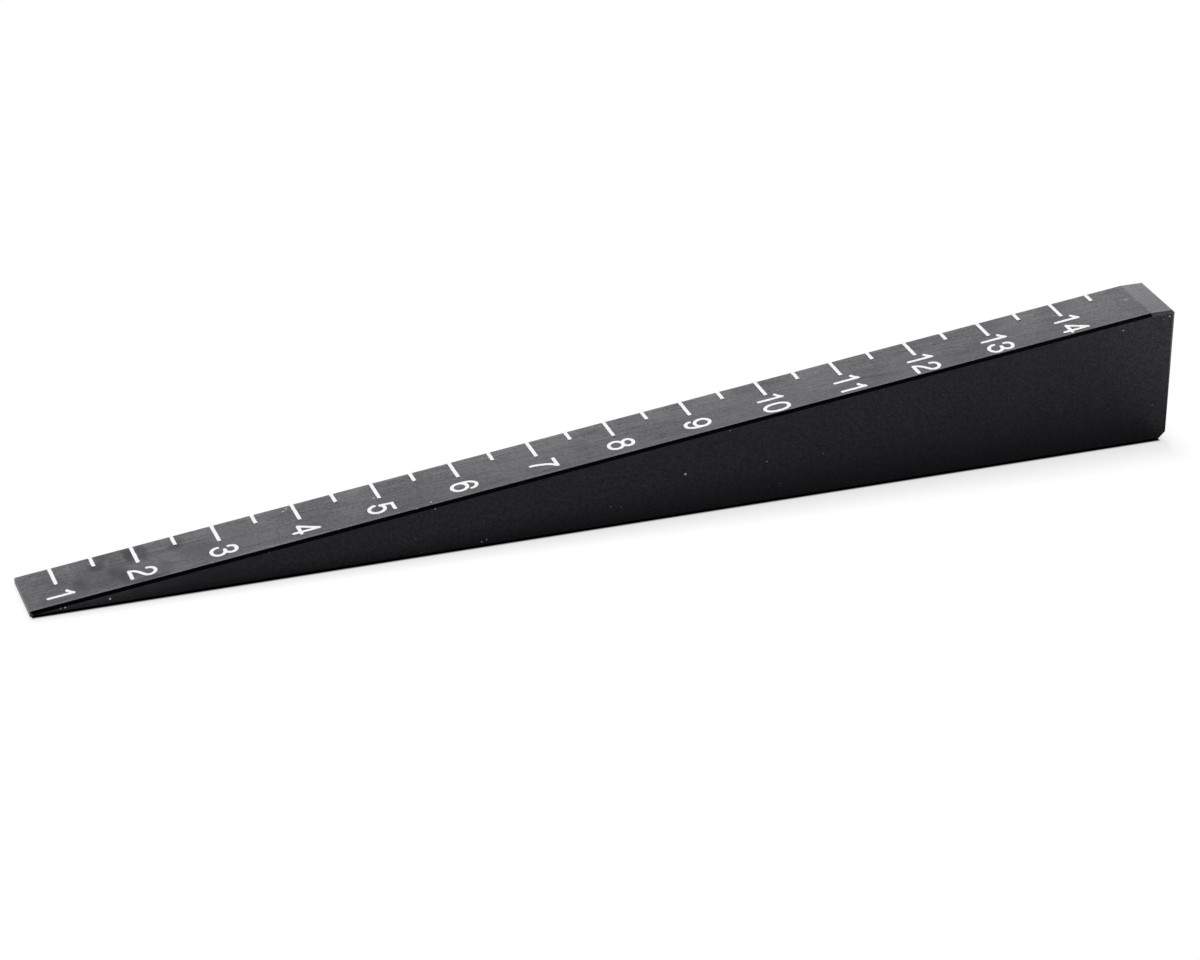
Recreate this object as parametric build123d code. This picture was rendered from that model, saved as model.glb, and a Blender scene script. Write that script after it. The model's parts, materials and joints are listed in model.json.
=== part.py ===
from build123d import *

import os
from math import atan, ceil, sin, tan, radians

# Wedge gauge for reading a clearance height, in millimetres. It is one solid,
# machined from flat bar. +X runs from the thin tip to the thick end, +Y runs
# across it to the edge where the scale marks start, and +Z is up. The origin
# is the middle of the underside's rectangle.

# Side view of the wedge
LENGTH = 122.0
TIP_HEIGHT = 0.58
LAND_HEIGHT = 15.0
LAND_LENGTH = 2.75
LAND_EDGE_CUT = 0.3
HEEL_CUT = 0.8

# Across the wedge
WIDTH = 7.8
SIDE_BEVEL = 0.3

# Engraved scale: each mark stands where the wedge is as high as it says
MARKS_PER_MM = 2
MARK_WIDTH = 0.38
MARK_DEPTH = 0.05
LONG_MARK = 3.42
SHORT_MARK = 1.88
SCALE_SKEW = 0.165

# Sizes worked out from the ones above
HALF_LENGTH = LENGTH / 2
HALF_WIDTH = WIDTH / 2
SLOPE_ANGLE = atan((LAND_HEIGHT - TIP_HEIGHT) / (LENGTH - LAND_LENGTH))
FIRST_READING = ceil(TIP_HEIGHT)
MARK_COUNT = ceil((LAND_HEIGHT - FIRST_READING) * MARKS_PER_MM)

# The measuring slope, as a plane that starts at the far corner of the thin
# tip. Its X runs up the slope and its Y runs across the wedge.
SLOPE_PLANE = Plane(
    origin=(-HALF_LENGTH, HALF_WIDTH, TIP_HEIGHT),
    x_dir=(LENGTH - LAND_LENGTH, 0, LAND_HEIGHT - TIP_HEIGHT),
    z_dir=(TIP_HEIGHT - LAND_HEIGHT, 0, LENGTH - LAND_LENGTH),
)


def side_corners():
    """Corners (x, z) of the side view, taken round from the tip's underside."""
    return [
        (-HALF_LENGTH, 0),
        (HALF_LENGTH - HEEL_CUT, 0),
        (HALF_LENGTH, HEEL_CUT),
        (HALF_LENGTH, LAND_HEIGHT - LAND_EDGE_CUT),
        (HALF_LENGTH - LAND_EDGE_CUT, LAND_HEIGHT),
        (HALF_LENGTH - LAND_LENGTH, LAND_HEIGHT),
        (-HALF_LENGTH, TIP_HEIGHT),
    ]


def wedge_blank():
    """The wedge with square sides, before its outline is bevelled."""
    outline = Plane.XZ * Polyline(*side_corners(), close=True)
    return extrude(make_face(outline), amount=HALF_WIDTH, both=True)


def bevel_plane(start, end, side):
    """Plane of the 45 degree bevel along one edge of the outline.

    The side view has no hollow corner, so a bevel is one flat cut: bevels
    mitre where the outline turns, and run together where the tip is thin.
    """
    rise = end[1] - start[1]
    run = end[0] - start[0]
    outward = Vector(rise, 0, -run).normalized()
    across = Vector(0, side, 0)
    foot = Vector(start[0], side * (HALF_WIDTH - SIDE_BEVEL), start[1])
    return Plane(origin=foot, z_dir=outward + across)


def bevelled(body):
    """Take the sharp edge off both side faces, all the way round."""
    corners = side_corners()
    next_corners = corners[1:] + corners[:1]
    for side in (-1, 1):
        for start, end in zip(corners, next_corners):
            cut = bevel_plane(start, end, side)
            body = split(body, bisect_by=cut, keep=Keep.BOTTOM)
    return body


def mark_groove(index):
    """One engraved mark, open at the far edge and square at its inner end.

    Whole millimetres get the long mark. The scale sits a little askew on the
    slope, so the marks shorten evenly towards the thick end.
    """
    reading = FIRST_READING + index / MARKS_PER_MM
    up_slope = (reading - TIP_HEIGHT) / sin(SLOPE_ANGLE)
    from_first = index / MARKS_PER_MM / sin(SLOPE_ANGLE)
    whole = index % MARKS_PER_MM == 0
    length = (LONG_MARK if whole else SHORT_MARK) - from_first * tan(radians(SCALE_SKEW))
    reach = SIDE_BEVEL + length
    groove = Box(
        MARK_WIDTH,
        reach,
        2 * MARK_DEPTH,
        align=(Align.CENTER, Align.MAX, Align.CENTER),
    )
    return SLOPE_PLANE * Pos(up_slope, 0, 0) * groove


def gauge_body():
    """The finished gauge: bevelled wedge with its scale marks cut in."""
    body = bevelled(wedge_blank())
    grooves = [mark_groove(index) for index in range(MARK_COUNT)]
    return body - grooves


os.makedirs("parts", exist_ok=True)
export_step(gauge_body(), "parts/gauge_body.step")
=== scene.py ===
"""Looks of the ride height gauge: its black anodised wedge, white scale and studio."""

import json
import logging
from dataclasses import dataclass
from enum import Enum, IntEnum
from math import atan2, radians, sin
from typing import NamedTuple

import bmesh
import bpy
import numpy as np
from mathutils import Euler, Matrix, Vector
from mathutils.geometry import tessellate_polygon

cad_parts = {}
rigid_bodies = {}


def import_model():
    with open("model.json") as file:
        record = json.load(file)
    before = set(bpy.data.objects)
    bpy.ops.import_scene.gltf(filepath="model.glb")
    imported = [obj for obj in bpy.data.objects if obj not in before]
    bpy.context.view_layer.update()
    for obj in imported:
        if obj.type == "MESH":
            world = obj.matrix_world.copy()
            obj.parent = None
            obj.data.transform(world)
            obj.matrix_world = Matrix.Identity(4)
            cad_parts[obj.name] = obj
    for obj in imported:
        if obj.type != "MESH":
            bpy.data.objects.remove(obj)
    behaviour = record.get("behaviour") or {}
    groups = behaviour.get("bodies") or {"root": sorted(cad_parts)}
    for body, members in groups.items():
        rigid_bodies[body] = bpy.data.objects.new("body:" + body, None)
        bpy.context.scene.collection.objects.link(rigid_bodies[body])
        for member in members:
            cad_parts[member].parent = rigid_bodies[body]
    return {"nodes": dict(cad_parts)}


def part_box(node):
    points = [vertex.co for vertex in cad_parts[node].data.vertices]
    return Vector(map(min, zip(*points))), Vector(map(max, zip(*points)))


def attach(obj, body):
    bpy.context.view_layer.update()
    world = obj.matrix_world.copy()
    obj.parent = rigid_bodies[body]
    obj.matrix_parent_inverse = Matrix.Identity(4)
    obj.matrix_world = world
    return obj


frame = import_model()

LOG = logging.getLogger("gauge")
MM = 0.001
BODY_NODE = "gauge_body"
RIDES_ON = "root"
GEOMETRY_SOCKET = "NodeSocketGeometry"
NOISE_ROUGHNESS = 0.6
NOISE_MIDDLE = 0.5

Point = tuple[float, float]
Place = tuple[float, float, float]
Colour = tuple[float, float, float, float]

# Where a smooth step starts and where it is done
Step = tuple[float, float]

# One value at each end of a stretch
Ends = tuple[float, float]


class Slot(Enum):
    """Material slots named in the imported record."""

    ENGRAVING = "engraving_white"


class MarkKind(IntEnum):
    """The two lengths of mark, in the order the marks repeat."""

    LONG = 0
    SHORT = 1


class MixKind(Enum):
    """What a Mix node mixes, with the places of its A, B and result sockets."""

    NUMBER = ("FLOAT", 2, 3, 0)
    COLOUR = ("RGBA", 6, 7, 2)


def grey(level: float) -> Colour:
    """A neutral colour at that linear level."""
    return (level, level, level, 1.0)


BLACK = grey(0.0)
WHITE = grey(1.0)


def put_in_scene(name: str, data: bpy.types.ID) -> bpy.types.Object:
    """Make an object and link it to the scene.

    Args:
        name: the object's name.
        data: its mesh, lamp or camera data.

    Returns:
        The object, at the origin.
    """
    made = bpy.data.objects.new(name, data)
    bpy.context.scene.collection.objects.link(made)
    return made


# Node trees written as Python expressions


class Wire:
    """One output socket that takes part in sums as if it were a number."""

    def __init__(self, board: "NodeBoard", socket: bpy.types.NodeSocket) -> None:
        """Hold the socket and the board it lies on."""
        self.board = board
        self.socket = socket

    def __add__(self, other: "Value") -> "Wire":
        """Sum of two values."""
        return self.board.math("ADD", self, other)

    __radd__ = __add__

    def __sub__(self, other: "Value") -> "Wire":
        """This value less the other."""
        return self.board.math("SUBTRACT", self, other)

    def __rsub__(self, other: "Value") -> "Wire":
        """The other value less this one."""
        return self.board.math("SUBTRACT", other, self)

    def __mul__(self, other: "Value") -> "Wire":
        """Product of two values."""
        return self.board.math("MULTIPLY", self, other)

    __rmul__ = __mul__

    def __truediv__(self, other: "Value") -> "Wire":
        """This value over the other."""
        return self.board.math("DIVIDE", self, other)

    def __rtruediv__(self, other: "Value") -> "Wire":
        """The other value over this one."""
        return self.board.math("DIVIDE", other, self)

    def __mod__(self, other: "Value") -> "Wire":
        """Remainder of this value over the other."""
        return self.board.math("MODULO", self, other)

    def __neg__(self) -> "Wire":
        """This value with its sign changed."""
        return self.board.math("MULTIPLY", self, -1.0)


Value = Wire | float | int | tuple | str | bpy.types.ID


class Placed:
    """A node on the board, whose outputs are read by name or place."""

    def __init__(self, board: "NodeBoard", node: bpy.types.Node) -> None:
        """Hold the node and the board it lies on."""
        self.board = board
        self.node = node

    def __getitem__(self, key: str | int) -> Wire:
        """The output socket of that name or place."""
        return Wire(self.board, self.node.outputs[key])


class NodeBoard:
    """Adds nodes to one shader or geometry tree."""

    def __init__(self, tree: bpy.types.NodeTree) -> None:
        """Start on an empty tree."""
        self.tree = tree
        tree.nodes.clear()

    def add(
        self,
        kind: str,
        settings: dict[str, object] | None = None,
        inputs: dict[str | int, Value] | None = None,
    ) -> Placed:
        """Add a node, set it up and feed its sockets.

        Args:
            kind: the node's type name.
            settings: properties of the node, set first.
            inputs: a value or a wire for each socket, by name or place.

        Returns:
            The placed node.
        """
        node = self.tree.nodes.new(kind)
        for name, value in (settings or {}).items():
            setattr(node, name, value)
        for key, value in (inputs or {}).items():
            self.feed(node.inputs[key], value)
        return Placed(self, node)

    def feed(self, socket: bpy.types.NodeSocket, value: Value) -> None:
        """Link a wire to a socket, or set the socket's own value.

        Args:
            socket: the input socket.
            value: the wire or the value.
        """
        if isinstance(value, Wire):
            self.tree.links.new(value.socket, socket)
        else:
            socket.default_value = value

    def math(self, operation: str, *values: Value) -> Wire:
        """Result of one Math node on the values."""
        return self.add("ShaderNodeMath", {"operation": operation}, dict(enumerate(values)))[0]

    def smooth_step(self, value: Value, start: float, end: float) -> Wire:
        """Rise from 0 at start to 1 at end, smoothly.

        Args:
            value: the number that rises.
            start: where the step begins.
            end: where it is done, which may lie below start.

        Returns:
            The step, from 0 to 1.
        """
        if start > end:
            return 1.0 - self.smooth_step(value, end, start)
        placed = self.add(
            "ShaderNodeMapRange",
            {"interpolation_type": "SMOOTHSTEP"},
            {"Value": value, "From Min": start, "From Max": end},
        )
        return placed["Result"]

    def mix(self, kind: MixKind, share: Value, first: Value, second: Value) -> Wire:
        """Blend two numbers or colours.

        Args:
            kind: what is mixed.
            share: 0 gives the first, 1 the second.
            first: value at share 0.
            second: value at share 1.

        Returns:
            The mixed value.
        """
        data_type, place_a, place_b, result = kind.value
        placed = self.add(
            "ShaderNodeMix",
            {"data_type": data_type},
            {0: share, place_a: first, place_b: second},
        )
        return placed[result]

    def vector_math(self, operation: str, *values: Value) -> Placed:
        """One Vector Math node on the values."""
        return self.add("ShaderNodeVectorMath", {"operation": operation}, dict(enumerate(values)))

    def noise(self, place: Wire, scale: float, detail: float = 3.0) -> Wire:
        """Even noise from 0 to 1 that repeats nowhere."""
        inputs = {"Vector": place, "Scale": scale, "Detail": detail, "Roughness": NOISE_ROUGHNESS}
        return self.add("ShaderNodeTexNoise", None, inputs)["Fac"]

    def bump(self, strength: float, depth: float, relief: Wire) -> Wire:
        """Normal of a surface with fine relief."""
        inputs = {"Strength": strength, "Distance": depth, "Height": relief}
        return self.add("ShaderNodeBump", None, inputs)["Normal"]

    def combine(self, x: Value, y: Value, z: Value) -> Wire:
        """A vector from its three parts."""
        return self.add("ShaderNodeCombineXYZ", None, {0: x, 1: y, 2: z})[0]

    def split(self, vector: Wire) -> tuple[Wire, Wire, Wire]:
        """The three parts of a vector."""
        placed = self.add("ShaderNodeSeparateXYZ", None, {0: vector})
        return placed[0], placed[1], placed[2]


class GeometryBoard(NodeBoard):
    """A geometry tree with named inputs, run once to give a plain mesh."""

    def __init__(self, name: str) -> None:
        """Make an empty geometry tree.

        Args:
            name: the tree's name.
        """
        super().__init__(bpy.data.node_groups.new(name, "GeometryNodeTree"))
        self.tree.interface.new_socket("Geometry", in_out="OUTPUT", socket_type=GEOMETRY_SOCKET)
        self.values: dict[str, object] = {}

    def geometry_input(self) -> Wire:
        """The geometry that the tree starts from."""
        self.tree.interface.new_socket("Geometry", in_out="INPUT", socket_type=GEOMETRY_SOCKET)
        return self.add("NodeGroupInput")["Geometry"]

    def size(self, name: str, value: object, socket_type: str = "NodeSocketFloat") -> Wire:
        """Add a named input and remember its value.

        Args:
            name: the input's name.
            value: what the modifier gives it.
            socket_type: the kind of socket.

        Returns:
            The wire that carries the input.
        """
        self.tree.interface.new_socket(name, in_out="INPUT", socket_type=socket_type)
        self.values[name] = value
        return self.add("NodeGroupInput")[name]

    def close(self, geometry: Wire, material: bpy.types.Material) -> None:
        """End the tree in real geometry with its material.

        Args:
            geometry: what the tree has made, instances included.
            material: the finish of all its faces.
        """
        finish = self.size("Finish", material, "NodeSocketMaterial")
        solid = self.add("GeometryNodeRealizeInstances", None, {"Geometry": geometry})["Geometry"]
        dressed = self.add("GeometryNodeSetMaterial", None, {"Geometry": solid, "Material": finish})
        self.add("NodeGroupOutput", None, {"Geometry": dressed["Geometry"]})

    def run(self, name: str, start: bpy.types.Mesh | None = None) -> bpy.types.Object:
        """Run the tree as a modifier and keep only the plain mesh it gives.

        Args:
            name: name of the finished piece.
            start: the mesh the tree starts from, if it reads one.

        Returns:
            The finished piece, at the origin, with no modifier.
        """
        piece = put_in_scene(name, start or bpy.data.meshes.new(name))
        modifier = piece.modifiers.new(name, "NODES")
        modifier.node_group = self.tree
        for item in self.tree.interface.items_tree:
            if item.item_type == "SOCKET" and item.in_out == "INPUT" and item.name in self.values:
                modifier[item.identifier] = self.values[item.name]
        graph = bpy.context.evaluated_depsgraph_get()
        made = bpy.data.meshes.new_from_object(piece.evaluated_get(graph))
        piece.modifiers.remove(modifier)
        piece.data = made
        made.name = name
        return piece


# Shape of the wedge


@dataclass(frozen=True)
class Wedge:
    """Sizes of the wedge that its scale is laid out on, in metres."""

    length: float
    width: float
    height: float
    tip_height: float = 0.58 * MM
    land_length: float = 2.75 * MM
    side_bevel: float = 0.3 * MM

    @classmethod
    def from_frame(cls) -> "Wedge":
        """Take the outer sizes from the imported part."""
        low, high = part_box(BODY_NODE)
        return cls(*(high - low))

    @property
    def slope_angle(self) -> float:
        """Angle of the measuring slope above the underside."""
        return atan2(self.height - self.tip_height, self.length - self.land_length)

    @property
    def slope_origin(self) -> Vector:
        """Far corner of the slope at the thin tip."""
        return Vector((-self.length / 2, self.width / 2, self.tip_height))

    def up_slope(self, reading: float) -> float:
        """Distance up the slope at which the wedge is that high."""
        return (reading - self.tip_height) / sin(self.slope_angle)

    def lay_on_slope(self, board: GeometryBoard, flat: Wire) -> Wire:
        """Turn flat geometry onto the measuring slope.

        Args:
            board: the tree that makes it.
            flat: geometry laid out from the slope's far corner at the tip.

        Returns:
            The geometry in its place on the wedge.
        """
        origin = board.size("Slope origin", self.slope_origin, "NodeSocketVector")
        turn = (0.0, -self.slope_angle, 0.0)
        laid = board.add(
            "GeometryNodeTransform",
            None,
            {"Geometry": flat, "Translation": origin, "Rotation": turn},
        )
        return laid["Geometry"]


# Strokes of the numbers, in millimetres from a digit's lower left corner


@dataclass(frozen=True)
class Line:
    """Straight runs through points."""

    points: tuple[Point, ...]

    def path(self) -> np.ndarray:
        """Points along the stroke's middle."""
        return np.array(self.points)


@dataclass(frozen=True)
class Bow:
    """Part or all of an oval, swept from one angle to another in degrees."""

    centre: Point
    radii: Point
    start: float = 0.0
    end: float = 360.0
    fullness: float = 1.0
    steps: int = 72

    def path(self) -> np.ndarray:
        """Sweep the oval; fullness under 1 makes its sides flatter.

        Returns:
            Points along the stroke's middle.
        """
        turn = np.radians(np.linspace(self.start, self.end, self.steps + 1))
        unit = np.stack([np.cos(turn), np.sin(turn)], axis=1)
        full = np.sign(unit) * np.abs(unit) ** self.fullness
        return np.array(self.centre) + full * np.array(self.radii)


@dataclass(frozen=True)
class Swing:
    """A smooth curve through points."""

    points: tuple[Point, ...]
    steps: int = 12

    def path(self) -> np.ndarray:
        """Join the points span by span.

        Returns:
            Points along the stroke's middle.
        """
        given = np.array(self.points)
        ends = np.vstack([2 * given[0] - given[1], given, 2 * given[-1] - given[-2]])
        along = np.linspace(0, 1, self.steps, endpoint=False)[:, None]
        spans = [self._span(*ends[i : i + 4], along) for i in range(len(given) - 1)]
        return np.vstack([*spans, given[-1:]])

    @staticmethod
    def _span(
        before: np.ndarray, start: np.ndarray, end: np.ndarray, after: np.ndarray, t: np.ndarray
    ) -> np.ndarray:
        """Points of the curve between start and end.

        Args:
            before: the point ahead of start.
            start: first point of the span.
            end: last point of the span.
            after: the point past end.
            t: how far along the span, from 0 to 1.

        Returns:
            One point for each t.
        """
        square = 2 * before - 5 * start + 4 * end - after
        cube = 3 * start - before - 3 * end + after
        return start + (t * (end - before) + t**2 * square + t**3 * cube) / 2


Stroke = Line | Bow | Swing

DIGIT_STROKES: dict[int, tuple[Stroke, ...]] = {
    0: (Bow((0.775, 1.28), (0.75, 1.28), fullness=0.9),),
    1: (
        Swing(((0.23, 2.02), (0.42, 2.09), (0.66, 2.31), (0.93, 2.55))),
        Line(((0.93, 2.55), (0.93, 0.0))),
    ),
    2: (
        Bow((0.835, 1.86), (0.685, 0.665), 182, -45),
        Swing(((1.32, 1.39), (0.95, 1.14), (0.55, 0.87), (0.18, 0.48), (0.03, 0.02))),
        Line(((0.03, 0.02), (1.52, 0.02))),
    ),
    3: (
        Bow((0.78, 1.93), (0.64, 0.59), 188, -90),
        Line(((0.78, 1.34), (0.62, 1.34))),
        Bow((0.76, 0.655), (0.765, 0.685), 90, -187),
    ),
    4: (
        Line(((1.24, 2.6), (0.03, 0.68), (1.55, 0.68))),
        Line(((1.24, 2.6), (1.24, -0.02))),
    ),
    5: (
        Line(((1.45, 2.5), (0.26, 2.5), (0.15, 1.31))),
        Bow((0.755, 0.81), (0.745, 0.8), 142, -173),
    ),
    6: (
        Bow((0.77, 0.79), (0.735, 0.79)),
        Line(((0.035, 0.79), (0.035, 1.34))),
        Bow((0.815, 1.34), (0.78, 1.21), 180, 90),
        Bow((0.815, 1.84), (0.7, 0.71), 90, 4),
    ),
    7: (
        Line(((0.05, 2.52), (1.57, 2.52))),
        Swing(((1.57, 2.52), (1.12, 2.03), (0.84, 1.53), (0.65, 0.96), (0.53, 0.39), (0.5, 0.0))),
    ),
    8: (
        Bow((0.785, 2.02), (0.655, 0.55)),
        Bow((0.8, 0.735), (0.755, 0.737)),
    ),
    9: (
        Bow((0.76, 1.757), (0.725, 0.787)),
        Line(((1.485, 1.757), (1.485, 1.19))),
        Bow((0.77, 1.19), (0.715, 1.19), 0, -90),
        Bow((0.77, 0.67), (0.68, 0.67), -90, -173),
    ),
}


@dataclass(frozen=True)
class Engraver:
    """Turns a digit's strokes into one flat closed solid, in millimetres."""

    stroke_width: float = 0.38
    grid: float = 0.035
    thickness: float = 0.03
    proud: float = 0.008

    def outlines(self, strokes: tuple[Stroke, ...]) -> list[np.ndarray]:
        """Closed outlines round the joined strokes.

        Args:
            strokes: what the engraving tool follows.

        Returns:
            Loops of points: outer ones turn left, inner ones turn right.
        """
        paths = [stroke.path() for stroke in strokes]
        reach = self.stroke_width
        low = np.min([path.min(axis=0) for path in paths], axis=0) - reach
        high = np.max([path.max(axis=0) for path in paths], axis=0) + reach
        xs = np.arange(low[0], high[0], self.grid)
        ys = np.arange(low[1], high[1], self.grid)
        spots = np.stack(np.meshgrid(xs, ys, indexing="ij"), axis=-1)
        away = np.full(spots.shape[:2], np.inf)
        for path in paths:
            for start, end in zip(path[:-1], path[1:]):
                away = np.minimum(away, self._distance(spots, start, end))
        return self._loops(away - self.stroke_width / 2, xs, ys)

    def solid(self, name: str, strokes: tuple[Stroke, ...]) -> bpy.types.Mesh:
        """One digit as a closed plate in metres, its corner at the origin.

        Args:
            name: name of the mesh.
            strokes: what the engraving tool follows.

        Returns:
            The mesh, its upper face just proud of the slope.
        """
        loops = [[Vector((x, y, 0)) for x, y in loop] for loop in self.outlines(strokes)]
        triangles = tessellate_polygon(loops)
        edges, first = [], 0
        for loop in loops:
            edges += [(first + i, first + (i + 1) % len(loop)) for i in range(len(loop))]
            first += len(loop)
        flat = [point for loop in loops for point in loop]
        sheet = bmesh.new()
        upper = [sheet.verts.new((p.x * MM, p.y * MM, self.proud * MM)) for p in flat]
        floor = (self.proud - self.thickness) * MM
        lower = [sheet.verts.new((p.x * MM, p.y * MM, floor)) for p in flat]
        for a, b, c in triangles:
            sheet.faces.new((upper[a], upper[b], upper[c]))
            sheet.faces.new((lower[c], lower[b], lower[a]))
        for a, b in edges:
            sheet.faces.new((upper[a], lower[a], lower[b], upper[b]))
        bmesh.ops.recalc_face_normals(sheet, faces=sheet.faces)
        mesh = bpy.data.meshes.new(name)
        sheet.to_mesh(mesh)
        sheet.free()
        return mesh

    def ink_span(self, strokes: tuple[Stroke, ...]) -> Ends:
        """Leftmost and rightmost ink of a digit."""
        across = np.concatenate([stroke.path()[:, 0] for stroke in strokes])
        return across.min() - self.stroke_width / 2, across.max() + self.stroke_width / 2

    @staticmethod
    def _distance(spots: np.ndarray, start: np.ndarray, end: np.ndarray) -> np.ndarray:
        """Distance of each spot from one straight piece of a stroke.

        Args:
            spots: the grid's points.
            start: one end of the piece.
            end: its other end.

        Returns:
            One distance for each spot.
        """
        run = end - start
        share = np.clip(((spots - start) @ run) / max(run @ run, np.finfo(float).tiny), 0, 1)
        return np.linalg.norm(spots - start - share[..., None] * run, axis=-1)

    @staticmethod
    def _loops(past_ink: np.ndarray, xs: np.ndarray, ys: np.ndarray) -> list[np.ndarray]:
        """Walk round the ink, along where its edge crosses the grid.

        Args:
            past_ink: distance past the ink's edge on the grid, negative inside the ink.
            xs: grid places across.
            ys: grid places up.

        Returns:
            Closed loops with the ink on their left.
        """
        inside = past_ink < 0
        count = sum(
            inside[i : i - 1 or None, j : j - 1 or None].astype(int)
            for i in (0, 1)
            for j in (0, 1)
        )
        onward: dict[tuple, tuple] = {}
        for i, j in np.argwhere((count > 0) & (count < 4)):
            corners = ((i, j), (i + 1, j), (i + 1, j + 1), (i, j + 1))
            sides = [tuple(sorted((corners[k], corners[(k + 1) % 4]))) for k in range(4)]
            turns = [int(inside[corners[(k + 1) % 4]]) - int(inside[corners[k]]) for k in range(4)]
            for k in range(4):
                if turns[k] < 0:
                    back = next(s % 4 for s in range(k + 3, k - 1, -1) if turns[s % 4] > 0)
                    onward[sides[k]] = sides[back]
        loops = []
        while onward:
            side = next(iter(onward))
            loop = []
            while side in onward:
                (i, j), (k, l) = side
                share = past_ink[i, j] / (past_ink[i, j] - past_ink[k, l])
                loop.append((xs[i] + share * (xs[k] - xs[i]), ys[j] + share * (ys[l] - ys[j])))
                side = onward.pop(side)
            loops.append(np.array(loop))
        return loops


# Finishes

# Where a smoky patch has its middle and how far it reaches up and down, in millimetres
SMOKE_HEIGHT = 2.0
SMOKE_REACH_UP = 12.0


def new_material(name: str) -> tuple[bpy.types.Material, NodeBoard]:
    """Start a material on an empty tree.

    Args:
        name: the material's name.

    Returns:
        The material and the board of its tree.
    """
    made = bpy.data.materials.new(name)
    made.use_nodes = True
    return made, NodeBoard(made.node_tree)


@dataclass(frozen=True)
class Spot:
    """A small place where the finish differs, in millimetres.

    Its edge says, in shares of its reach, where it begins and where it is full.
    """

    place: Place
    reach: Place
    strength: float
    edge: Step = (1.0, 0.4)

    def mask(self, board: NodeBoard, place: Wire) -> Wire:
        """Rise from nothing at the spot's reach to full strength round its middle.

        Args:
            board: the material's board.
            place: object place in millimetres.

        Returns:
            The spot's share.
        """
        offset = board.vector_math("SUBTRACT", place, self.place)["Vector"]
        apart = board.vector_math("DIVIDE", offset, self.reach)["Vector"]
        distance = board.vector_math("LENGTH", apart)["Value"]
        return board.smooth_step(distance, *self.edge) * self.strength


def nick(x: float, y: float, z: float, radius: float = 0.07, strength: float = 1.0) -> Spot:
    """A bright metal speck, as wide as it is high: mostly nicks and dust, a few painted glints."""
    return Spot((x, y, z), (radius, radius, radius), strength)


def smoke(x: float, y: float, along: float, across: float, strength: float) -> Spot:
    """A smoky patch on the slope near the tip, nearly the same all through its height."""
    return Spot((x, y, SMOKE_HEIGHT), (along, across, SMOKE_REACH_UP), strength)


def together(board: NodeBoard, place: Wire, spots: tuple[Spot, ...]) -> Value:
    """All spots of a kind as one mask."""
    return sum(spot.mask(board, place) for spot in spots)


class Faces(NamedTuple):
    """Masks that are 1 on the named faces and 0 on the others."""

    slope: Wire
    land: Wire
    bevel: Wire


class Grinding(NamedTuple):
    """Patterns that grinding left, each from 0 to 1."""

    streaks: Wire
    scratches: Wire
    grain: Wire


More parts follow.
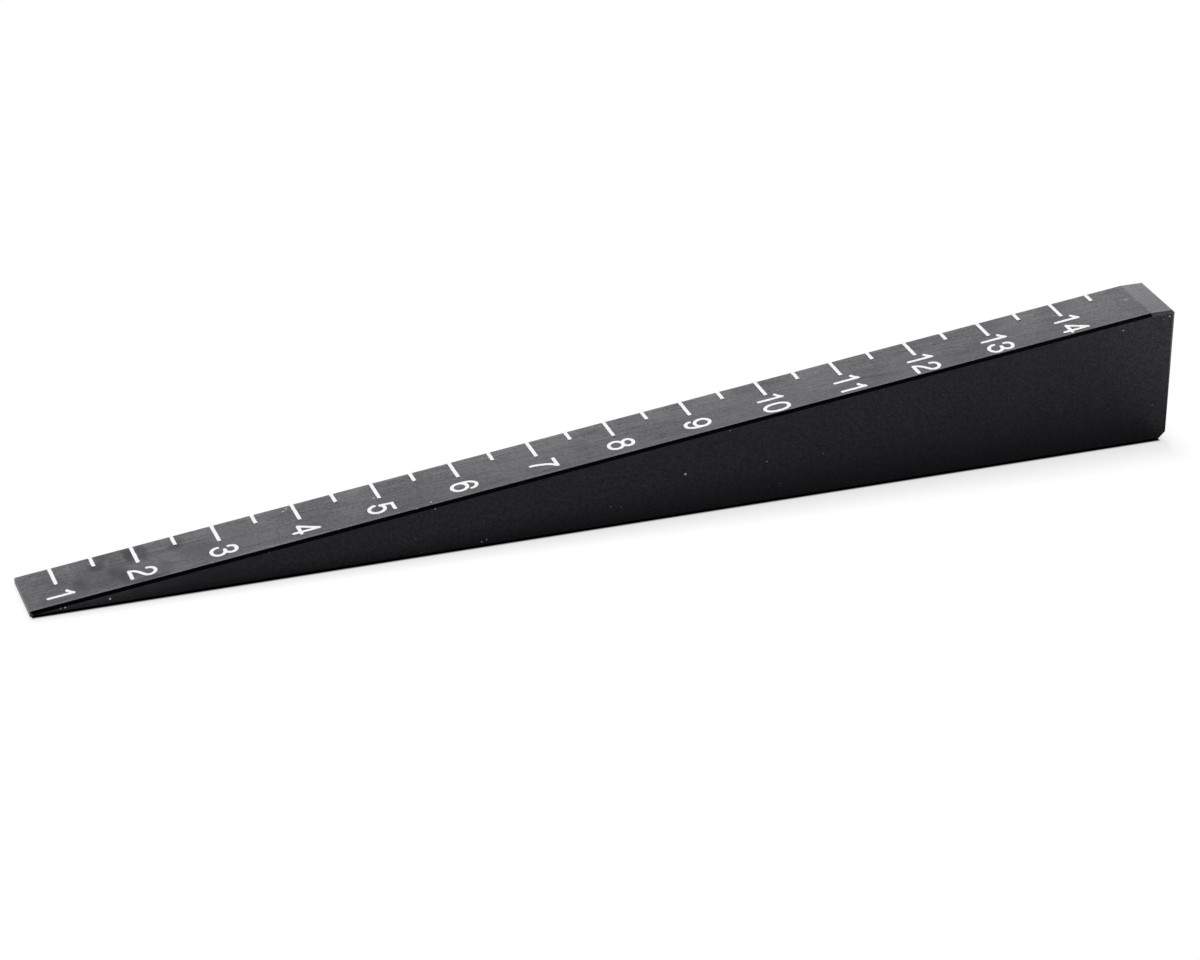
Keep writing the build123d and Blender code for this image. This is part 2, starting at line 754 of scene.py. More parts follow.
@dataclass(frozen=True)
class BlackAnodised:
    """Black anodising over ground bar: streaked on the slope, matt on the sides.

    Patterns and zones are in millimetres. A face is told by its normal: the
    slope and the land at the thick end look up, the bevels half sideways.
    """

    name: str = "black_anodised_gauge"
    tone: Colour = (0.0028, 0.0025, 0.0034, 1.0)
    worn_tone: Colour = (0.04, 0.04, 0.042, 1.0)
    nick_tone: Colour = (0.85, 0.85, 0.86, 1.0)
    nicks: tuple[Spot, ...] = ()
    smokes: tuple[Spot, ...] = ()

    # Share of the normal that looks up, or sideways for the bevels
    slope_facing: Step = (0.85, 0.95)
    land_facing: Step = (0.994, 0.999)
    off_slope_facing: Step = (0.3, 0.5)
    off_side_facing: Step = (0.95, 0.85)

    # Patterns of the ground metal, and the thin light line along the slope's edges, wear with a
    # painted edge highlight
    streak_size: Place = (5.0, 0.15, 5.0)
    streak_turn: float = -2.5
    streak_detail: float = 4.0
    scratch_size: Place = (2.2, 0.2, 2.2)
    scratch_turn: float = -5.0
    scratch_patches: float = 0.12
    scratch_patch_edge: Step = (0.42, 0.6)
    grain_scale: float = 4.5
    speckle_scale: float = 5.0
    speckle_edge: Step = (0.35, 0.65)
    grain_detail: float = 2.0
    smoke_scale: float = 0.8
    smoke_base: float = 0.55
    wear: float = 0.6
    wear_from_edge: Step = (0.4, 0.15)

    # Roughness of each face, and how far the patterns change it
    side_roughness: float = 0.4
    slope_roughness: float = 0.3
    bevel_roughness: float = 0.16
    streak_roughness: float = 0.12
    grain_roughness: float = 0.1

    # Sheen of each face, and how uneven it is on the slope
    specular_level: float = 0.5
    specular_tint: Colour = (0.9, 0.88, 1.0, 1.0)
    slope_gloss: float = 0.69
    land_gloss: float = 0.22
    side_gloss: float = 0.4
    gloss_ior: float = 1.7
    gloss_roughness: float = 0.22
    gloss_level: float = 1.06
    gloss_contrast: float = 2.8
    gloss_scratches: float = 0.6
    land_smoothness: float = 0.55
    # Painted sheen: the slope's gloss rises from its near edge to its far edge
    gloss_across: Ends = (0.9, 1.17)
    across_zone: Step = (-3.8, 3.8)

    # Fine relief
    streak_relief: float = 0.7
    nick_relief: float = 2.0
    bump_strength: float = 0.2
    bump_depth: float = 0.02 * MM

    def material(self, wedge: Wedge) -> bpy.types.Material:
        """Build the material for that wedge.

        Args:
            wedge: the wedge's sizes, which say where its edges are.

        Returns:
            The material.
        """
        made, board = new_material(self.name)
        coordinate = board.add("ShaderNodeTexCoord")
        place = board.vector_math("DIVIDE", coordinate["Object"], (MM, MM, MM))["Vector"]
        across = board.split(place)[1]
        faces = self._faces(board, coordinate["Normal"])
        ground = self._grinding(board, place)
        # Nicks and dust as bright metal specks; a few of them are painted glints
        nicks = together(board, place, self.nicks)
        # Light line along the slope's edges: wear and a painted edge highlight in the base colour
        wear_and_highlight_line = self._wear(board, across, wedge) * faces.slope
        tone = board.mix(MixKind.COLOUR, wear_and_highlight_line, self.tone, self.worn_tone)
        relief = ground.streaks * faces.slope * self.streak_relief
        relief = relief + ground.grain * (1.0 - faces.slope) + nicks * self.nick_relief
        gloss = self._slope_gloss(board, faces, ground, place)
        gloss = gloss + self._side_gloss(board, faces, place)
        shader = board.add(
            "ShaderNodeBsdfPrincipled",
            None,
            {
                "Base Color": board.mix(MixKind.COLOUR, nicks, tone, self.nick_tone),
                "Metallic": board.math("MINIMUM", nicks, 1.0),
                "Roughness": self._roughness(board, faces, ground),
                "Specular IOR Level": self.specular_level,
                "Specular Tint": self.specular_tint,
                "Coat Weight": gloss,
                "Coat IOR": self.gloss_ior,
                "Coat Roughness": self.gloss_roughness,
                "Normal": board.bump(self.bump_strength, self.bump_depth, relief),
            },
        )
        board.add("ShaderNodeOutputMaterial", None, {"Surface": shader["BSDF"]})
        return made

    def _faces(self, board: NodeBoard, normal: Wire) -> Faces:
        """Tell the faces apart.

        Args:
            board: the material's board.
            normal: the surface's normal.

        Returns:
            The masks of the slope with the land, of the land, and of the bevels.
        """
        _, sideways, upward = board.split(normal)
        sideways = board.math("ABSOLUTE", sideways)
        off_slope = board.smooth_step(sideways, *self.off_slope_facing)
        off_side = board.smooth_step(sideways, *self.off_side_facing)
        return Faces(
            slope=board.smooth_step(upward, *self.slope_facing),
            land=board.smooth_step(upward, *self.land_facing),
            bevel=off_slope * off_side,
        )

    def _grinding(self, board: NodeBoard, place: Wire) -> Grinding:
        """Lay out the grinding lines, the patches of scratches and the grain.

        Args:
            board: the material's board.
            place: object place in millimetres.

        Returns:
            The three patterns.
        """
        patches = board.noise(place, self.scratch_patches)
        scratches = self._lines(board, place, self.scratch_size, self.scratch_turn)
        return Grinding(
            streaks=self._lines(board, place, self.streak_size, self.streak_turn),
            scratches=scratches * board.smooth_step(patches, *self.scratch_patch_edge),
            grain=board.noise(place, self.grain_scale, self.grain_detail),
        )

    def _lines(self, board: NodeBoard, place: Wire, size: Place, turn: float) -> Wire:
        """Fine grinding lines, nearly lengthwise.

        Args:
            board: the material's board.
            place: object place in millimetres.
            size: length, width and height of a line in millimetres.
            turn: angle of the lines to the gauge's length, in degrees.

        Returns:
            Line height from 0 to 1.
        """
        laid = board.add(
            "ShaderNodeMapping",
            {"vector_type": "TEXTURE"},
            {"Vector": place, "Rotation": (0.0, 0.0, radians(turn)), "Scale": size},
        )
        return board.noise(laid["Vector"], 1.0, self.streak_detail)

    def _wear(self, board: NodeBoard, across: Wire, wedge: Wedge) -> Wire:
        """Thin light line where the slope meets its side bevels: wear and a painted edge highlight.

        Args:
            board: the material's board.
            across: place across the gauge in millimetres.
            wedge: the wedge's sizes.

        Returns:
            How light the line is, wear and painted highlight together.
        """
        edge = (wedge.width / 2 - wedge.side_bevel) / MM
        start, end = (edge - inwards for inwards in self.wear_from_edge)
        return board.smooth_step(board.math("ABSOLUTE", across), start, end) * self.wear

    def _roughness(self, board: NodeBoard, faces: Faces, ground: Grinding) -> Wire:
        """Roughness of each face, with the grinding in it.

        Args:
            board: the material's board.
            faces: masks of the faces.
            ground: patterns of the grinding.

        Returns:
            The roughness.
        """
        rough = board.mix(MixKind.NUMBER, faces.slope, self.side_roughness, self.slope_roughness)
        rough = board.mix(MixKind.NUMBER, faces.bevel, rough, self.bevel_roughness)
        streaks = (ground.streaks - NOISE_MIDDLE) * faces.slope * self.streak_roughness
        return rough + streaks + (ground.grain - NOISE_MIDDLE) * self.grain_roughness

    def _slope_gloss(self, board: NodeBoard, faces: Faces, ground: Grinding, place: Wire) -> Wire:
        """Sheen of the slope: uneven where it was ground, dull where it is smoky, and painted
        stronger towards the far edge.

        Args:
            board: the material's board.
            faces: masks of the faces.
            ground: patterns of the grinding.
            place: object place in millimetres.

        Returns:
            Share of gloss on the slope and the land.
        """
        texture = (ground.streaks - NOISE_MIDDLE) * self.gloss_contrast
        texture = texture - ground.scratches * self.gloss_scratches
        texture = texture + (ground.grain - NOISE_MIDDLE) * self.gloss_contrast
        texture = self.gloss_level + texture * (1.0 - faces.land * self.land_smoothness)
        # Painted sheen, stronger towards the far edge
        to_far_edge = board.smooth_step(board.split(place)[1], *self.across_zone)
        painted_sheen_tilt = board.mix(MixKind.NUMBER, to_far_edge, *self.gloss_across)
        cloud = self.smoke_base + board.noise(place, self.smoke_scale)
        smoky = board.math("MINIMUM", together(board, place, self.smokes) * cloud, 1.0)
        clear = 1.0 - smoky + faces.land * self.land_gloss
        return faces.slope * self.slope_gloss * texture * painted_sheen_tilt * clear

    def _side_gloss(self, board: NodeBoard, faces: Faces, place: Wire) -> Wire:
        """Faint speckled sheen of the flat sides.

        Args:
            board: the material's board.
            faces: masks of the faces.
            place: object place in millimetres.

        Returns:
            Share of gloss on the sides.
        """
        fine = board.noise(place, self.speckle_scale, self.grain_detail)
        speckle = board.smooth_step(fine, *self.speckle_edge)
        return (1.0 - faces.slope) * (1.0 - faces.bevel) * speckle * self.side_gloss


@dataclass(frozen=True)
class EngravedWhite:
    """Matt white of the engraved marks and numbers."""

    name: str = "engraved_white_gauge"
    tone: Colour = (0.92, 0.92, 0.925, 1.0)
    shade: Colour = (0.8, 0.8, 0.805, 1.0)
    fine_scale: float = 14.0 / MM
    broad_scale: float = 1.5 / MM
    detail: float = 2.0
    patch_edge: Step = (0.55, 0.75)
    roughness: float = 0.6
    roughness_spread: float = 0.2
    specular_level: float = 0.25
    bump_strength: float = 0.25
    bump_depth: float = 0.01 * MM

    def material(self) -> bpy.types.Material:
        """Build the material.

        Returns:
            The material.
        """
        made, board = new_material(self.name)
        place = board.add("ShaderNodeTexCoord")["Object"]
        fine = board.noise(place, self.fine_scale, self.detail)
        broad = board.noise(place, self.broad_scale, self.detail)
        patches = board.smooth_step(fine * 0.5 + broad * 0.5, *self.patch_edge)
        shader = board.add(
            "ShaderNodeBsdfPrincipled",
            None,
            {
                "Base Color": board.mix(MixKind.COLOUR, patches, self.tone, self.shade),
                "Roughness": self.roughness + (fine - NOISE_MIDDLE) * self.roughness_spread,
                "Specular IOR Level": self.specular_level,
                "Normal": board.bump(self.bump_strength, self.bump_depth, fine),
            },
        )
        board.add("ShaderNodeOutputMaterial", None, {"Surface": shader["BSDF"]})
        return made


# Pieces of the gauge


@dataclass(frozen=True)
class GaugeBody:
    """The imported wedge, dressed in black anodising."""

    wedge: Wedge
    finish: BlackAnodised

    def dress(self) -> bpy.types.Object:
        """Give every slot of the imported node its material.

        Returns:
            The node's object.
        """
        node = frame["nodes"][BODY_NODE]
        made = self.finish.material(self.wedge)
        node.data.materials.clear()
        node.data.materials.append(made)
        return node


@dataclass(frozen=True)
class ScaleMarks:
    """White fill of the engraved marks, in metres."""

    wedge: Wedge
    name: str = "scale_marks"
    first_reading: float = 1.0 * MM
    marks_per_mm: int = 2
    count: int = 28
    width: float = 0.374 * MM
    long_mark: float = 3.417 * MM
    short_mark: float = 1.877 * MM
    skew: float = radians(0.165)
    depth: float = 0.044 * MM
    sunk: float = 0.003 * MM
    corner: float = 0.03 * MM
    corner_steps: int = 4
    outer_share: float = 0.25
    weld: float = 0.001 * MM

    def build(self, material: bpy.types.Material) -> bpy.types.Object:
        """Lay the marks out on the slope.

        Args:
            material: the white finish.

        Returns:
            All marks as one piece.
        """
        board = GeometryBoard(self.name)
        angle = board.size("Slope angle", self.wedge.slope_angle)
        index = board.add("GeometryNodeInputIndex")[0]
        per_mm = board.size("Marks per mm", self.marks_per_mm, "NodeSocketInt")
        first = board.size("First reading", self.first_reading)
        tip = board.size("Tip height", self.wedge.tip_height)
        rise = board.math("SINE", angle)
        from_first = index / per_mm * MM / rise
        start = (first - tip) / rise
        edge = -board.size("Side bevel", self.wedge.side_bevel)
        points = board.add(
            "GeometryNodePoints",
            None,
            {
                "Count": board.size("Count", self.count, "NodeSocketInt"),
                "Position": board.combine(start + from_first, edge, 0.0),
            },
        )["Points"]
        lengths = {
            MarkKind.LONG: board.size("Long mark", self.long_mark),
            MarkKind.SHORT: board.size("Short mark", self.short_mark),
        }
        width = board.size("Mark width", self.width)
        # What is joined last comes first, so the kinds go in backwards
        bars = board.add("GeometryNodeJoinGeometry")
        for kind in reversed(MarkKind):
            bar = self._bar(board, width, lengths[kind])
            lone = board.add("GeometryNodeGeometryToInstance", None, {"Geometry": bar})
            board.feed(bars.node.inputs[0], lone[0])
        shape = board.math("MINIMUM", index % per_mm, 1.0)
        full = board.mix(MixKind.NUMBER, shape, lengths[MarkKind.LONG], lengths[MarkKind.SHORT])
        slant = board.math("TANGENT", board.size("Skew", self.skew))
        shrink = (full - from_first * slant) / full
        placed = board.add(
            "GeometryNodeInstanceOnPoints",
            None,
            {
                "Points": points,
                "Instance": bars[0],
                "Pick Instance": True,
                "Instance Index": shape,
                "Scale": board.combine(1.0, shrink, 1.0),
            },
        )["Instances"]
        board.close(self.wedge.lay_on_slope(board, placed), material)
        return board.run(self.name)

    def _bar(self, board: GeometryBoard, width: Wire, length: Wire) -> Wire:
        """One mark's fill, from the slope's edge inwards.

        Args:
            board: the tree it is built in.
            width: width of the mark.
            length: length of the mark on the slope.

        Returns:
            A closed bar with rounded corners; its outer end follows the bevel.
        """
        plan = board.add(
            "GeometryNodeCurvePrimitiveQuadrilateral", None, {"Width": width, "Height": length}
        )
        corner = board.size("Corner", self.corner)
        soft = board.add(
            "GeometryNodeFilletCurve",
            {"mode": "POLY"},
            {"Curve": plan["Curve"], "Radius": corner, "Count": self.corner_steps},
        )
        level = -(self.depth + self.sunk)
        laid = board.add(
            "GeometryNodeTransform",
            None,
            {"Geometry": soft["Curve"], "Translation": board.combine(0.0, length * -0.5, level)},
        )["Geometry"]
        sheet = board.add("GeometryNodeFillCurve", {"mode": "NGONS"}, {"Curve": laid})["Mesh"]
        raised = board.add(
            "GeometryNodeExtrudeMesh",
            {"mode": "FACES"},
            {
                "Mesh": sheet,
                "Offset": (0.0, 0.0, 1.0),
                "Offset Scale": self.depth,
                "Individual": False,
            },
        )["Mesh"]
        under = board.add("GeometryNodeFlipFaces", None, {"Mesh": sheet})["Mesh"]
        joined = board.add("GeometryNodeJoinGeometry")
        for part in (raised, under):
            board.feed(joined.node.inputs[0], part)
        merged = board.add(
            "GeometryNodeMergeByDistance", None, {"Geometry": joined[0], "Distance": self.weld}
        )["Geometry"]
        _, y, z = board.split(board.add("GeometryNodeInputPosition")[0])
        outer = board.math("GREATER_THAN", y, length * -self.outer_share)
        low = board.math("LESS_THAN", z, (level - self.sunk) / 2)
        slanted = board.add(
            "GeometryNodeSetPosition",
            None,
            {"Geometry": merged, "Selection": outer * low, "Offset": (0.0, self.depth, 0.0)},
        )
        return slanted["Geometry"]


@dataclass(frozen=True)
class ScaleNumbers:
    """White numbers beside the long marks, read from the tip, in millimetres.

    A number's row is the place of its middle across the gauge, and its lift is
    how far up the slope its middle stands from its mark.
    """

    wedge: Wedge
    name: str = "scale_numbers"
    engraver: Engraver = Engraver()
    last: int = 14
    cap_height: float = 2.55
    advance: float = 2.03
    turn: float = radians(-90)
    first_row: float = -1.794
    row_drift: float = 0.024
    lift: tuple[float, ...] = (
        -0.02, 0.0, -0.02, 0.01, -0.39, -0.02, 0.11, 0.09, 0.08, 0.09, 0.1, 0.12, 0.13, 0.14
    )

    def build(self, material: bpy.types.Material) -> bpy.types.Object:
        """Lay the numbers out on the slope.

        Args:
            material: the white finish.

        Returns:
            All numbers as one piece.
        """
        digits = self._digit_meshes()
        board = GeometryBoard(self.name)
        places = board.geometry_input()
        shapes = board.add(
            "GeometryNodeCollectionInfo",
            None,
            {
                "Collection": board.size("Digits", digits, "NodeSocketCollection"),
                "Separate Children": True,
                "Reset Children": True,
            },
        )["Instances"]
        digit = board.add(
            "GeometryNodeInputNamedAttribute", {"data_type": "INT"}, {"Name": "digit"}
        )
        placed = board.add(
            "GeometryNodeInstanceOnPoints",
            None,
            {
                "Points": places,
                "Instance": shapes,
                "Pick Instance": True,
                "Instance Index": digit["Attribute"],
                "Rotation": (0.0, 0.0, self.turn),
            },
        )["Instances"]
        board.close(self.wedge.lay_on_slope(board, placed), material)
        piece = board.run(self.name, self._places())
        for shape in list(digits.objects):
            bpy.data.objects.remove(shape)
        bpy.data.collections.remove(digits)
        return piece

    def _digit_meshes(self) -> bpy.types.Collection:
        """Cut the ten digits.

        Returns:
            A collection with the digits in order.
        """
        digits = bpy.data.collections.new("digits")
        for value, strokes in DIGIT_STROKES.items():
            name = f"digit_{value}"
            digits.objects.link(bpy.data.objects.new(name, self.engraver.solid(name, strokes)))
        return digits

    def _places(self) -> bpy.types.Mesh:
        """Work out where each digit goes.

        Returns:
            One vertex at each digit's lower left corner, with the digit it stands for.
        """
        spots, values = [], []
        for reading in range(1, self.last + 1):
            figures = [int(c) for c in str(reading)]
            spans = [self.engraver.ink_span(DIGIT_STROKES[f]) for f in figures]
            left = spans[0][0]
            right = spans[-1][1] + self.advance * (len(figures) - 1)
            row = self.first_row + self.row_drift * (reading - 1)
            middle = self.wedge.up_slope(reading * MM) / MM + self.lift[reading - 1]
            up = middle - self.cap_height / 2
            for order, figure in enumerate(figures):
                across = order * self.advance - (left + right) / 2
                from_far = self.wedge.width / 2 / MM - row + across
                spots.append((up * MM, -from_far * MM, 0.0))
                values.append(figure)
        mesh = bpy.data.meshes.new("number_places")
        mesh.from_pydata(spots, [], [])
        mesh.attributes.new("digit", "INT", "POINT").data.foreach_set("value", values)
        return mesh


# Studio


def ways_of_looking(board: NodeBoard) -> tuple[Wire, Wire]:
    """Tell how a surface of the studio is looked at.

    Args:
        board: the board of its material or of the world.

    Returns:
        1 where the camera looks straight at it, and 1 where it is seen by way
        of a glossy or clear surface.
    """
    path = board.add("ShaderNodeLightPath")
    indirect = board.math("MAXIMUM", path["Is Glossy Ray"], path["Is Transmission Ray"])
    return path["Is Camera Ray"], indirect


@dataclass(frozen=True)
class Softbox:
    """A square lamp that looks at the gauge, in metres and watts."""

    name: str
    place: Place
    size: float
    watts: float
    target: Place = (0.0, 0.0, 0.005)
    mirrored: bool = True

    def build(self) -> bpy.types.Object:
        """Hang the lamp.

        Returns:
            The lamp's object.
        """
        lamp = bpy.data.lights.new(self.name, "AREA")
        lamp.shape = "SQUARE"
        lamp.size = self.size
        lamp.energy = self.watts
        held = put_in_scene(self.name, lamp)
        held.location = self.place
        aim = Vector(self.target) - Vector(self.place)
        held.rotation_euler = aim.to_track_quat("-Z", "Y").to_euler()
        held.visible_glossy = self.mirrored
        return held


@dataclass(frozen=True)
class PaleFloor:
    """A flat pale floor that fades to plain white away from the gauge, in metres.

    The camera sees it lit, with the gauge's shadow, which white glow fades out
    within a few millimetres. Right round the footprint its colour is painted
    near-black, a painted contact shadow. In what is glossy it glows at set
    levels of painted light and shade: a painted soft shade of the gauge near by,
    painted light towards the tip and past the thick end, plain white far away. A
    reach with two values has one at the tip and one at the thick end.
    """

    name: str = "floor"
    reach: float = 4.0
    tone: Colour = (0.93, 0.93, 0.93, 1.0)

    # Where the gauge stands, and its shadow as the camera sees it
    contact_ends: Ends = (-60.77 * MM, 60.2 * MM)
    contact_side: float = 3.84 * MM
    end_rise: float = 1.6
    # Painted contact shadow: the floor's colour is painted near-black right round the footprint,
    # both where the camera sees it and where it is mirrored
    crevice_tone: Colour = (0.01, 0.01, 0.01, 1.0)
    crevice_reach: float = 0.1 * MM
    contact_reach: float = 0.36 * MM
    contact_share: float = 0.72
    shadow_reach: Ends = (1.5 * MM, 5.5 * MM)

    # Painted light and shade where the gauge mirrors the floor: set glow levels, not the lit floor
    mirror_level: float = 0.285
    mirror_tip_lift: float = 0.6
    mirror_tip_zone: Step = (-42.0 * MM, -61.0 * MM)
    mirror_end_lift: float = 0.3
    mirror_end_zone: Step = (61.5 * MM, 74.0 * MM)
    mirror_shade: float = 0.84
    mirror_end_reach: Ends = (0.3 * MM, 48.0 * MM)
    mirror_side_reach: Ends = (0.5 * MM, 16.0 * MM)
    mirror_corner_reach: Ends = (0.3 * MM, 2.0 * MM)
    mirror_end_width: float = 4.0 * MM
    mirror_far: Step = (32.0 * MM, 110.0 * MM)

    def build(self, wedge: Wedge) -> bpy.types.Object:
        """Lay the floor.

        Args:
            wedge: the wedge that stands on it.

        Returns:
            The floor.
        """
        mesh = bpy.data.meshes.new(self.name)
        sides = ((-1, -1), (1, -1), (1, 1), (-1, 1))
        corners = [(x * self.reach, y * self.reach, 0) for x, y in sides]
        mesh.from_pydata(corners, [], [(0, 1, 2, 3)])
        mesh.materials.append(self._material(wedge))
        floor = put_in_scene(self.name, mesh)
        return floor

    def _material(self, wedge: Wedge) -> bpy.types.Material:
        """Mix the lit floor with plain white.

        Args:
            wedge: the wedge that stands on it.

        Returns:
            The floor's material.
        """
        made, board = new_material("pale_floor")
        x, y, _ = board.split(board.add("ShaderNodeTexCoord")["Object"])
        middle = sum(self.contact_ends) / 2
        offsets = ((x - middle, self.contact_ends[1] - middle), (y, self.contact_side))
        beyond = [
            board.math("MAXIMUM", board.math("ABSOLUTE", offset) - half, 0.0)
            for offset, half in offsets
        ]
        away = self._distance(board, beyond[0] * self.end_rise, beyond[1])
        straight, indirect = ways_of_looking(board)
        thick = board.smooth_step(x, -wedge.length / 2, wedge.length / 2)
        shadow_reach = board.mix(MixKind.NUMBER, thick, *self.shadow_reach)
        shadow = board.math("MINIMUM", away / shadow_reach, 1.0)
        contact = board.smooth_step(away, 0.0, self.contact_reach)
        plain = contact * self.contact_share + shadow * contact * (1.0 - self.contact_share)
        # Painted contact shadow round the footprint
        outside_painted_shadow = board.smooth_step(away, 0.0, self.crevice_reach)
        tone = board.mix(MixKind.COLOUR, outside_painted_shadow, self.crevice_tone, self.tone)
        lit = board.add("ShaderNodeBsdfDiffuse", None, {"Color": tone})["BSDF"]
        # What glossy surfaces mirror: painted light and shade, not the lit floor
        mirrored = outside_painted_shadow * self._mirrored(board, x, beyond, thick)
        level = board.mix(MixKind.NUMBER, indirect, 1.0, mirrored)
        glow = board.mix(MixKind.COLOUR, level, BLACK, WHITE)
        white = board.add("ShaderNodeEmission", None, {"Color": glow})["Emission"]
        share = plain * straight + indirect
        shader = board.add("ShaderNodeMixShader", None, {0: share, 1: lit, 2: white})
        board.add("ShaderNodeOutputMaterial", None, {"Surface": shader[0]})
        return made

    def _mirrored(self, board: NodeBoard, x: Wire, beyond: list[Wire], thick: Wire) -> Wire:
        """How bright the floor is painted where it is mirrored in the gauge.

        Args:
            board: the floor's board.
            x: place along the gauge.
            beyond: distances past the contact rectangle, along and aside.
            thick: 0 at the tip, 1 at the thick end.

        Returns:
            Brightness: a painted soft shade of the gauge near by, painted light towards
                the tip and past the thick end, plain white far away.
        """
        # Painted light near the tip and past the thick end, and painted shade of the gauge near by
        tip = board.smooth_step(x, *self.mirror_tip_zone) * self.mirror_tip_lift
        end = board.smooth_step(x, *self.mirror_end_zone) * self.mirror_end_lift
        past_end = beyond[0] / board.mix(MixKind.NUMBER, thick, *self.mirror_end_reach)
        in_front = beyond[1] / board.mix(MixKind.NUMBER, thick, *self.mirror_side_reach)
        past_corner = beyond[0] / board.mix(MixKind.NUMBER, thick, *self.mirror_corner_reach)
        by_side = board.smooth_step(in_front, 1.0, 0.0) * board.smooth_step(past_corner, 1.0, 0.0)
        by_end = board.smooth_step(past_end, 1.0, 0.0)
        by_end = by_end * board.smooth_step(beyond[1], self.mirror_end_width, 0.0)
        shade = board.math("MAXIMUM", by_side, by_end) * self.mirror_shade
        near = (self.mirror_level + tip + end) * (1.0 - shade)
        far = board.smooth_step(self._distance(board, *beyond), *self.mirror_far)
        return board.mix(MixKind.NUMBER, far, near, 1.0)

    @staticmethod
    def _distance(board: NodeBoard, along: Wire, aside: Wire) -> Wire:
        """Length of a step along the gauge and aside from it."""
        return board.math("SQRT", along * along + aside * aside)


@dataclass(frozen=True)
class Surround:
    """White low down all round, dark overhead where the lamps hang.

    Its steps are shares of a direction that point up, or away to the back.
    """

    name: str = "soft_surround"
    wall_top: Step = (0.74, 0.6)
    ceiling: float = 0.015
    front_to_back: Step = (-0.5, 0.5)
    front_light: float = 0.04
    back_light: float = 1.0
    mirrored_cast: Colour = (0.98, 0.972, 1.015, 1.0)

    def build(self) -> bpy.types.World:
        """Make the world.

        Returns:
            The world, set on the scene.
        """
        world = bpy.data.worlds.new(self.name)
        world.use_nodes = True
        board = NodeBoard(world.node_tree)
        _, back, up = board.split(board.add("ShaderNodeTexCoord")["Generated"])
        low = board.smooth_step(up, *self.wall_top)
        wall = board.mix(MixKind.NUMBER, low, self.ceiling, 1.0)
        straight, indirect = ways_of_looking(board)
        behind = board.smooth_step(back, *self.front_to_back)
        lit = wall * board.mix(MixKind.NUMBER, behind, self.front_light, self.back_light)
        level = board.mix(MixKind.NUMBER, indirect, lit, wall)
        level = board.mix(MixKind.NUMBER, straight, level, 1.0)
        cast = board.mix(MixKind.COLOUR, indirect, WHITE, self.mirrored_cast)
        colour = board.mix(MixKind.COLOUR, level, BLACK, cast)
        shader = board.add("ShaderNodeBackground", None, {"Color": colour})
        board.add("ShaderNodeOutputWorld", None, {"Surface": shader[0]})
        bpy.context.scene.world = world
        return world


@dataclass(frozen=True)
class Viewpoint:
    """The camera, where the photograph was taken from.

    Its place is in metres, its turn in degrees, its lens and sensor in millimetres.
    """

    name: str = "camera"
    place: Place = (-0.121526, -0.339545, 0.189488)
    turn: Place = (62.6799, -0.42061, -19.2964)
    lens: float = 119.513
    sensor: float = 36.0
    clip: Ends = (0.01, 20.0)

    def build(self) -> bpy.types.Object:
        """Stand the camera up.

        Returns:
            The camera, set on the scene.
        """
        data = bpy.data.cameras.new(self.name)
        data.lens = self.lens
        data.sensor_width = self.sensor
        data.clip_start, data.clip_end = self.clip
        camera = put_in_scene(self.name, data)
        camera.location = self.place
        camera.rotation_euler = Euler([radians(angle) for angle in self.turn])
        bpy.context.scene.camera = camera
        return camera


@dataclass(frozen=True)
class Studio:
    """Pale floor, soft surround, lamps and camera."""

    floor: PaleFloor = PaleFloor()
    surround: Surround = Surround()
    lamps: tuple[Softbox, ...] = (
        Softbox("rear_softbox", (0.04, 0.66, 0.32), 0.36, 9.0, mirrored=False),
        Softbox("top_softbox", (0.05, 0.1, 0.8), 0.4, 0.8, mirrored=False),
        Softbox("right_softbox", (0.43, -0.335, 0.59), 0.14, 0.14),
    )
    viewpoint: Viewpoint = Viewpoint()

    def build(self, wedge: Wedge) -> None:
        """Set the whole studio up round the wedge.

        Args:
            wedge: the wedge that stands in it.
        """
        self.floor.build(wedge)
        self.surround.build()
        for lamp in self.lamps:
            lamp.build()
        self.viewpoint.build()
        bpy.context.scene.view_settings.view_transform = "Standard"
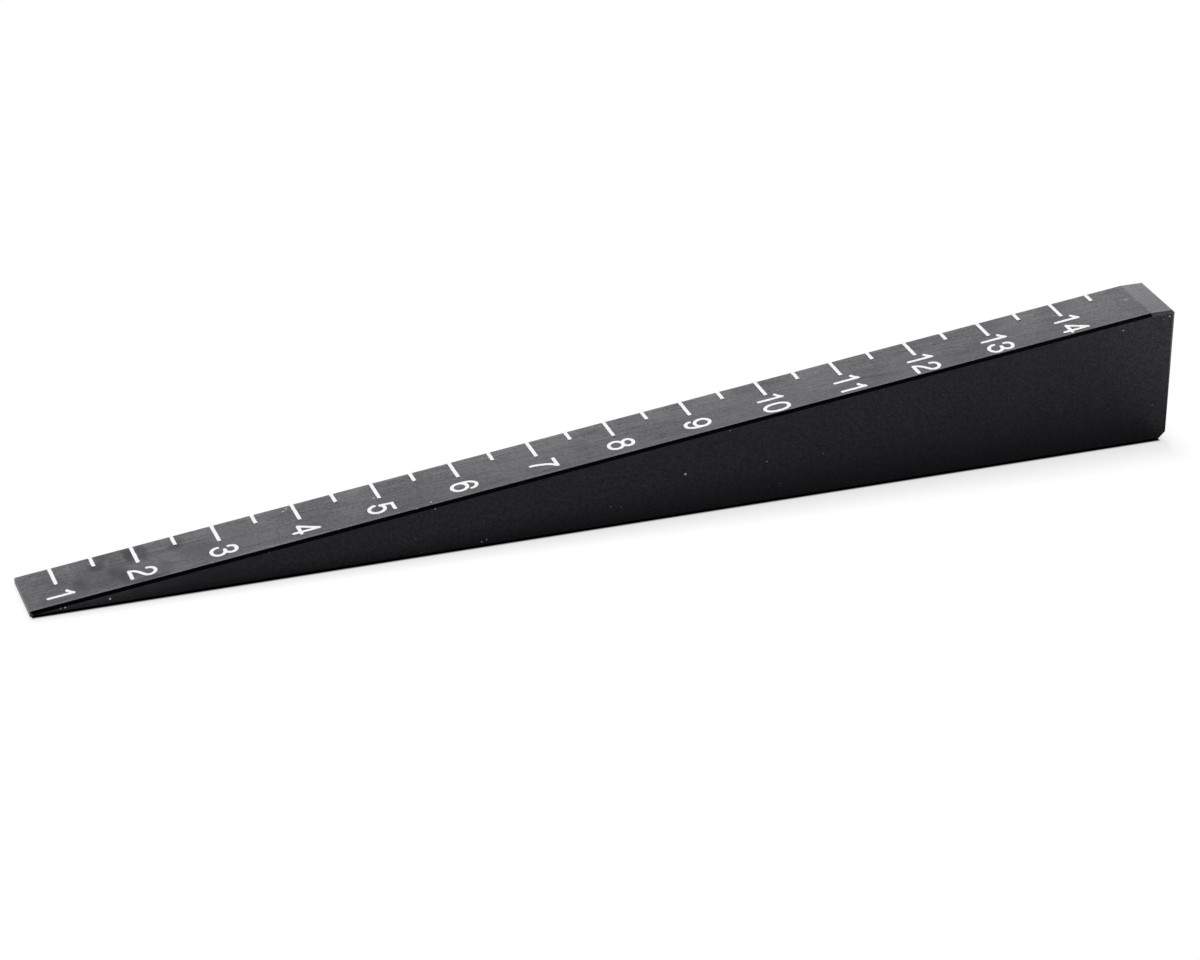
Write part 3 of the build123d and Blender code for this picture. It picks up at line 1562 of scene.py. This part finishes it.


# Bright nicks and dust, a few painted glints among them, and smoky patches of this gauge, in
# millimetres

NICKS_AND_GLINTS = (
    nick(-58.0, -3.85, 0.56, 0.12, 0.7),
    nick(-57.55, -3.85, 0.6, 0.13),
    nick(-53.1, -3.9, 0.78, 0.15),
    nick(-37.0, -3.9, 3.2, 0.06, 0.5),
    nick(-22.0, -3.9, 2.1, 0.06, 0.4),
    nick(-21.4, -3.9, 0.5, 0.08, 0.6),
    nick(-19.9, -3.9, 5.13, 0.08),
    nick(-14.85, -3.9, 2.9, 0.06, 0.5),
    nick(-14.6, -3.9, 0.78, 0.1, 0.9),
    nick(-15.1, -3.9, 0.6, 0.09, 0.8),
    nick(-1.4, -3.9, 2.3, 0.07, 0.7),
    nick(-0.3, -3.9, 2.1, 0.07, 0.6),
    nick(6.6, -3.9, 4.7, 0.18),
    nick(11.35, -3.9, 8.9, 0.08),
    nick(15.5, -3.9, 4.7, 0.08, 0.9),
    nick(17.0, -3.9, 1.95, 0.07, 0.5),
    nick(21.7, -3.9, 4.6, 0.07, 0.6),
    nick(34.8, -3.9, 9.3, 0.06, 0.4),
    nick(55.0, -3.9, 13.6, 0.09),
    nick(59.07, -3.9, 4.29, 0.07, 0.6),
    nick(58.58, -3.9, 12.23, 0.06, 0.4),
    # Painted highlight: a bright metal speck at the heel's top near corner
    nick(60.3, -3.9, 14.45, 0.1),
    nick(59.6, -3.9, 14.2, 0.06, 0.6),
    # Painted glints: two bright metal specks on the slope
    nick(-33.8, 2.75, 3.87, 0.12),
    nick(-33.4, 3.05, 3.92, 0.12),
    nick(-20.1, -3.04, 5.53, 0.12, 0.7),
    nick(-24.96, 0.66, 4.94, 0.16, 0.4),
    nick(57.3, 0.42, 14.88, 0.16, 0.4),
    nick(-21.7, -3.6, 5.33, 0.08),
)

SMOKES = (
    smoke(-60.9, 0.0, 2.0, 6.0, -0.2),
    smoke(-59.4, -2.1, 0.6, 1.3, 0.25),
    smoke(-57.4, 0.1, 1.4, 0.9, 0.35),
    smoke(-55.5, -1.6, 1.1, 2.2, 0.3),
    smoke(-53.6, -0.5, 3.4, 3.2, 0.38),
    smoke(-53.2, 1.5, 1.2, 1.2, 0.55),
    smoke(-52.5, 2.8, 0.8, 1.0, 0.45),
    smoke(-51.3, 3.1, 1.5, 1.3, 0.2),
    smoke(-51.3, -0.4, 1.4, 3.2, 0.4),
    smoke(-49.8, 2.2, 0.8, 2.4, 0.85),
    smoke(-48.5, 2.2, 0.8, 2.3, 0.75),
    smoke(-51.0, -2.1, 0.9, 1.7, 0.5),
    smoke(-48.8, -3.3, 2.6, 0.7, 0.8),
    smoke(-46.9, -1.9, 1.0, 2.0, 0.35),
    smoke(-45.2, 1.5, 1.0, 1.1, 0.55),
    smoke(-44.6, 2.6, 0.7, 1.0, 0.3),
    smoke(-43.4, -0.2, 2.8, 2.2, 0.35),
    smoke(-46.0, -4.0, 18.0, 2.0, -0.15),
)


# The whole scene


def main() -> None:
    """Dress the gauge and set up its studio."""
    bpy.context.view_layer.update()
    wedge = Wedge.from_frame()
    white = EngravedWhite().material()
    body = GaugeBody(wedge, BlackAnodised(nicks=NICKS_AND_GLINTS, smokes=SMOKES)).dress()
    LOG.info("%s: %d faces", body.name, len(body.data.polygons))
    for part in (ScaleMarks(wedge), ScaleNumbers(wedge)):
        piece = part.build(white)
        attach(piece, RIDES_ON)
        LOG.info("%s: %d faces", piece.name, len(piece.data.polygons))
    Studio().build(wedge)


if __name__ == "__main__":
    logging.basicConfig(level=logging.INFO, format="%(message)s")
    main()
